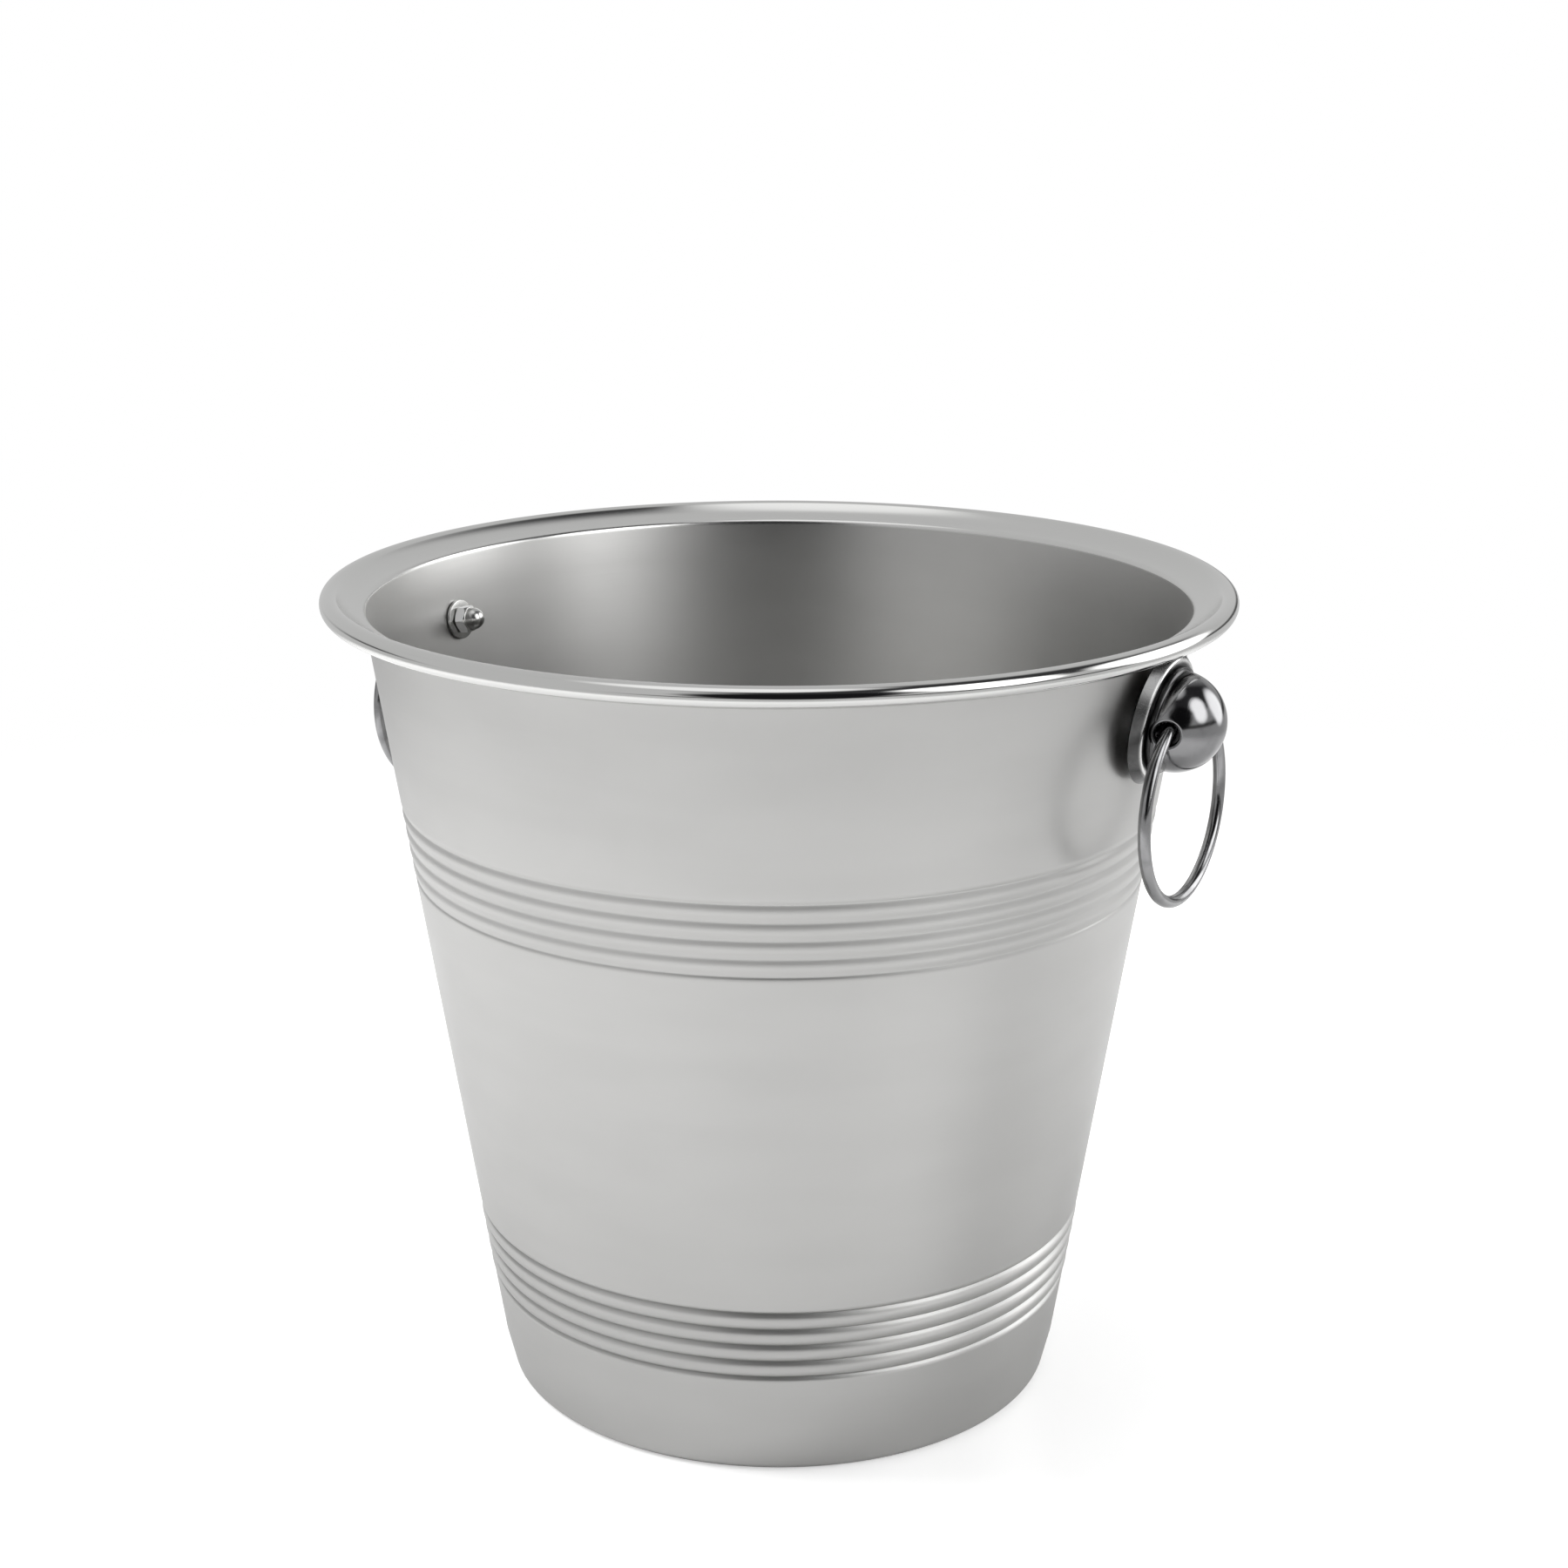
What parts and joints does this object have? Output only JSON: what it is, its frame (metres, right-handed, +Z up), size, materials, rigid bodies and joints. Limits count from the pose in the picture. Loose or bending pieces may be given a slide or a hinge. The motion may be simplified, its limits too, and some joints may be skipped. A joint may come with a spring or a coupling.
{
  "type": "champagne bucket",
  "caption": "Tapered steel pail with a rolled lip, bands of rolled beads round the wall, and a loose ring handle hanging from a round boss on each side.",
  "frame": {"origin": "middle of the base, on the plane the bucket stands on", "axes": "+Z up along the pail's axis, +X through the right handle, so that the handles stand on +X and -X"},
  "size_m": [0.2514, 0.24, 0.2201],
  "materials": {
    "satin_steel": "satin stainless steel, polished on the rolled lip",
    "polished_steel": "polished, dark steel, as if thinly plated or tarnished",
    "fixing_steel": "plain turned steel"
  },
  "bodies": {
    "pail": {"bucket_shell": "satin_steel", "backplate_right": "polished_steel", "backplate_left": "polished_steel", "boss_right": "polished_steel", "boss_left": "polished_steel", "screw_right": "fixing_steel", "screw_left": "fixing_steel", "washer_right": "fixing_steel", "washer_left": "fixing_steel", "cap_nut_right": "fixing_steel", "cap_nut_left": "fixing_steel"},
    "right_ring": {"ring_right": "polished_steel"},
    "left_ring": {"ring_left": "polished_steel"}
  },
  "joints": [
    {"name": "right_ring_swing", "type": "hinge", "parent": "pail", "child": "right_ring", "pos_m": [0.11588, 0, 0.1958], "axis": [0, -1, 0], "range_deg": [-18, 165]},
    {"name": "left_ring_swing", "type": "hinge", "parent": "pail", "child": "left_ring", "pos_m": [-0.11588, 0, 0.1958], "axis": [0, 1, 0], "range_deg": [-18, 165]}
  ]
}
